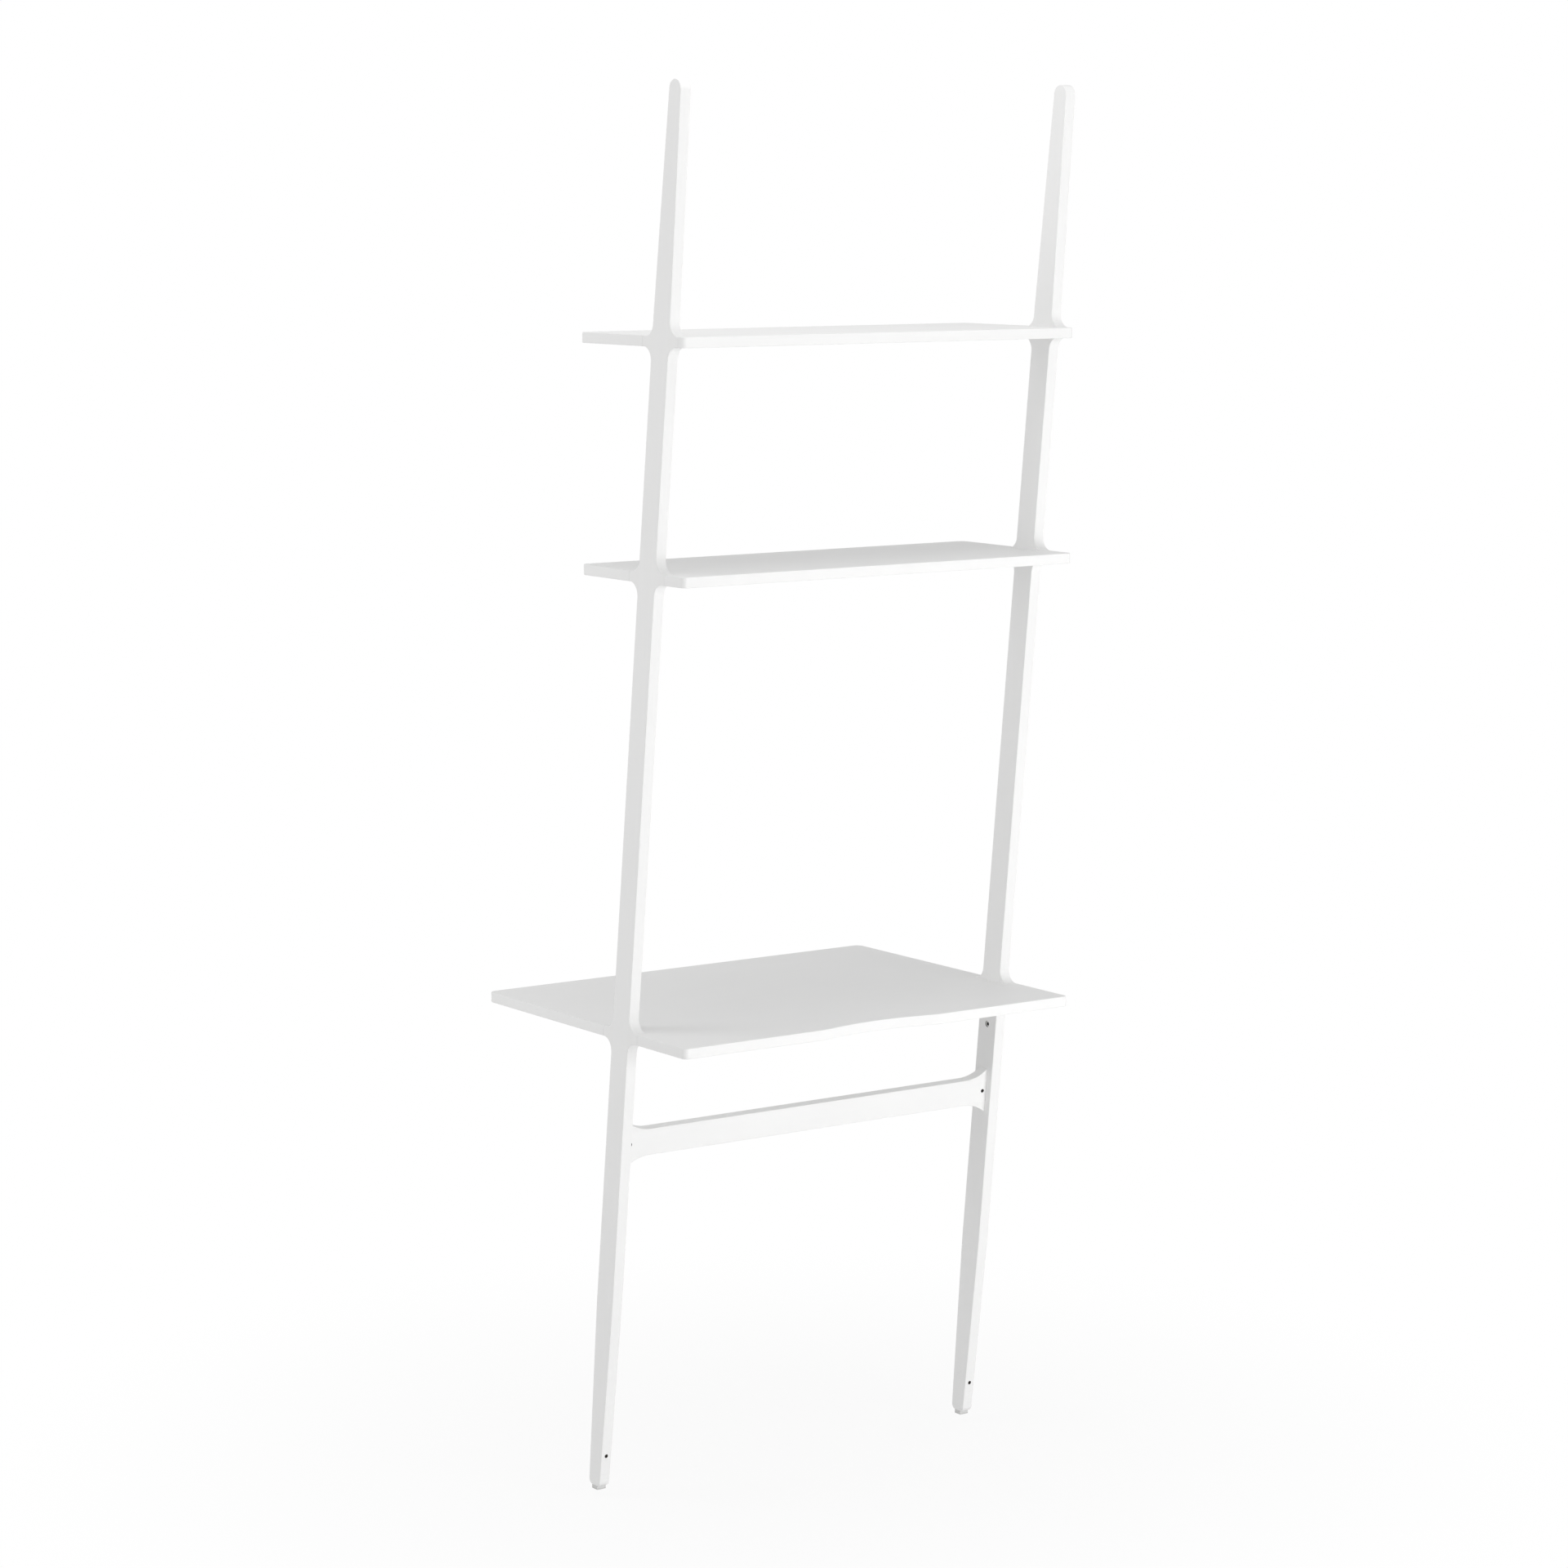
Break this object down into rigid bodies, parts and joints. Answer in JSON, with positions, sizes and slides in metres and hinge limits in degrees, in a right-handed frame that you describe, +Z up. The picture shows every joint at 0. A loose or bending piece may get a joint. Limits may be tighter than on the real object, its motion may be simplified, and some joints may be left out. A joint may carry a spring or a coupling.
{
  "type": "ladder desk",
  "caption": "White ladder desk that leans on a wall: deep writing surface with narrow shelves above it on tapered uprights, a flared tie bar below and sliding levelling feet.",
  "frame": {"origin": "on the floor, under the middle of the desk top", "axes": "+X to the right-hand end as the user sits, +Y towards the wall, +Z up"},
  "size_m": [0.722, 0.555, 2.141],
  "materials": {
    "lacquered_wood": "white satin lacquer",
    "dowel_wood": "plain beech",
    "zinc_steel": "zinc plated",
    "black_steel": "black oxide",
    "foot_plastic": "light grey, matt",
    "glide_plastic": "grey, matt"
  },
  "bodies": {
    "frame": {"right_upright": "lacquered_wood", "left_upright": "lacquered_wood", "desk_top": "lacquered_wood", "middle_shelf": "lacquered_wood", "top_shelf": "lacquered_wood", "stretcher": "lacquered_wood", "desk_dowels": "dowel_wood", "middle_shelf_dowels": "dowel_wood", "top_shelf_dowels": "dowel_wood", "desk_bolts": "zinc_steel", "middle_shelf_bolts": "zinc_steel", "top_shelf_bolts": "zinc_steel", "desk_cams": "zinc_steel", "middle_shelf_cams": "zinc_steel", "top_shelf_cams": "zinc_steel", "stretcher_pins": "zinc_steel", "foot_sleeves": "zinc_steel", "desk_inserts": "zinc_steel", "stretcher_lock_screws": "black_steel", "foot_lock_screws": "black_steel"},
    "right_foot_body": {"right_foot": "foot_plastic", "right_glide": "glide_plastic"},
    "left_foot_body": {"left_foot": "foot_plastic", "left_glide": "glide_plastic"}
  },
  "joints": [
    {"name": "right_foot_slide", "type": "slide", "parent": "frame", "child": "right_foot_body", "axis": [0, 0, -1], "range_m": [0, 0.01]},
    {"name": "left_foot_slide", "type": "slide", "parent": "frame", "child": "left_foot_body", "axis": [0, 0, -1], "range_m": [0, 0.01]}
  ]
}
